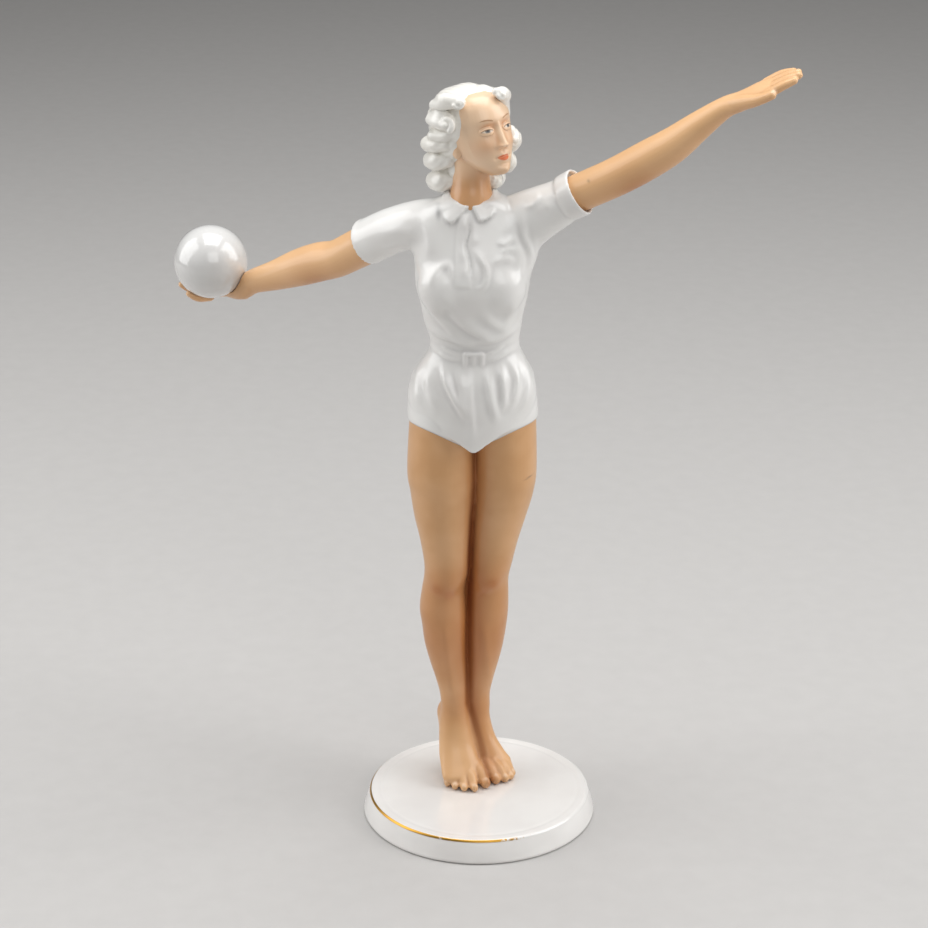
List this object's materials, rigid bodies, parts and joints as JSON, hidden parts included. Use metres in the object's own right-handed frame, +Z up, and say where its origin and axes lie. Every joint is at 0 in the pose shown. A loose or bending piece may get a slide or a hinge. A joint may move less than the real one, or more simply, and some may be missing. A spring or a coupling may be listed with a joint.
{
  "type": "porcelain volleyball player figurine",
  "caption": "Glazed porcelain figurine of a volleyball player on tiptoe on a round base, one arm raised and a ball on the other hand.",
  "frame": {"origin": "middle of the round base's flat underside", "axes": "+Z up through the figure, -Y the way the figure faces, +X to the figure's left, the raised arm's side"},
  "size_m": [0.2212, 0.114, 0.2971],
  "materials": {
    "base_glaze": "gloss, worn gold line at the upper edge",
    "painted_porcelain": "gloss white clothes and hair, satin flesh-coloured skin",
    "ball_glaze": "gloss"
  },
  "bodies": {
    "root": {"base_disc": "base_glaze", "figure": "painted_porcelain", "ball": "ball_glaze"}
  },
  "joints": []
}
